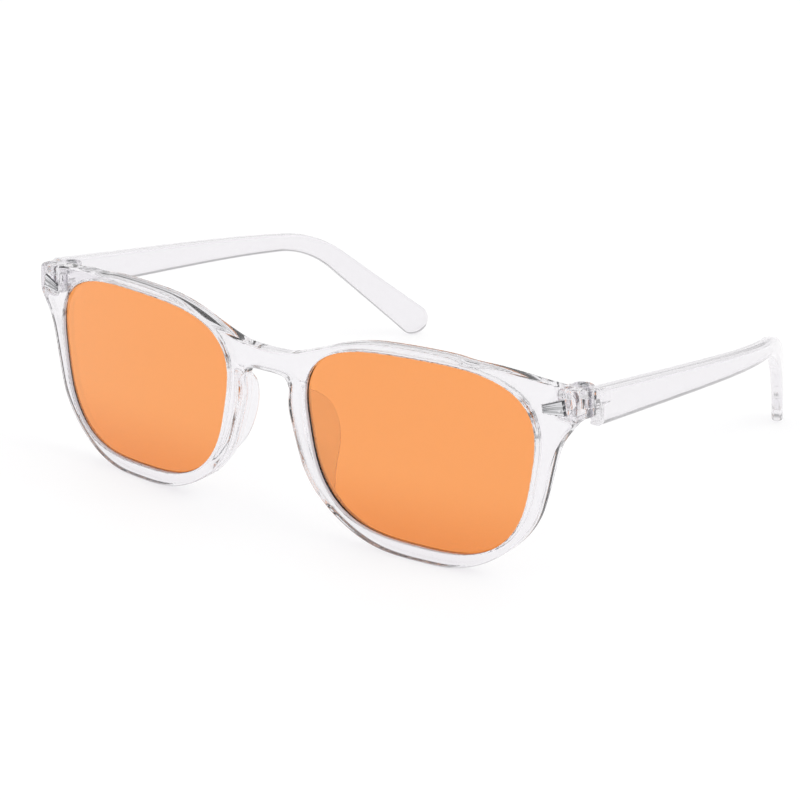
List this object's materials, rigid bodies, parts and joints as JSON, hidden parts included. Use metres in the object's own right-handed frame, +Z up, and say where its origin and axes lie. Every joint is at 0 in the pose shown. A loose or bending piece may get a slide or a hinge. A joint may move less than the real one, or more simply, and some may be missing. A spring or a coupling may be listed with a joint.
{
  "type": "blue light glasses",
  "caption": "Clear moulded spectacle frame with amber lenses, a saddle bridge, wedge trims and temples that fold on hinge screws.",
  "frame": {"origin": "on the table, midway between the temples and midway from the front's foremost face to the temple tips", "axes": "+X to the wearer's left, +Y from the lenses back to the temple tips, +Z up"},
  "size_m": [0.1432, 0.1229, 0.0439],
  "materials": {
    "clear_plastic": "clear polished polycarbonate",
    "amber_lens": "polished amber tint",
    "screw_steel": "dark steel",
    "nut_steel": "satin",
    "trim_metal": "bright"
  },
  "bodies": {
    "front": {"front_frame": "clear_plastic", "left_lens": "amber_lens", "right_lens": "amber_lens", "left_hinge_screw": "screw_steel", "right_hinge_screw": "screw_steel", "left_hinge_nut": "nut_steel", "right_hinge_nut": "nut_steel", "left_wedge_trim": "trim_metal", "right_wedge_trim": "trim_metal"},
    "left_temple_arm": {"left_temple": "clear_plastic"},
    "right_temple_arm": {"right_temple": "clear_plastic"}
  },
  "joints": [
    {"name": "left_temple_fold", "type": "hinge", "parent": "front", "child": "left_temple_arm", "pos_m": [0.0668, -0.04745, 0.0373], "axis": [0, 0, 1], "range_deg": [0, 84]},
    {"name": "right_temple_fold", "type": "hinge", "parent": "front", "child": "right_temple_arm", "pos_m": [-0.0668, -0.04745, 0.0373], "axis": [0, 0, -1], "range_deg": [0, 78]}
  ]
}
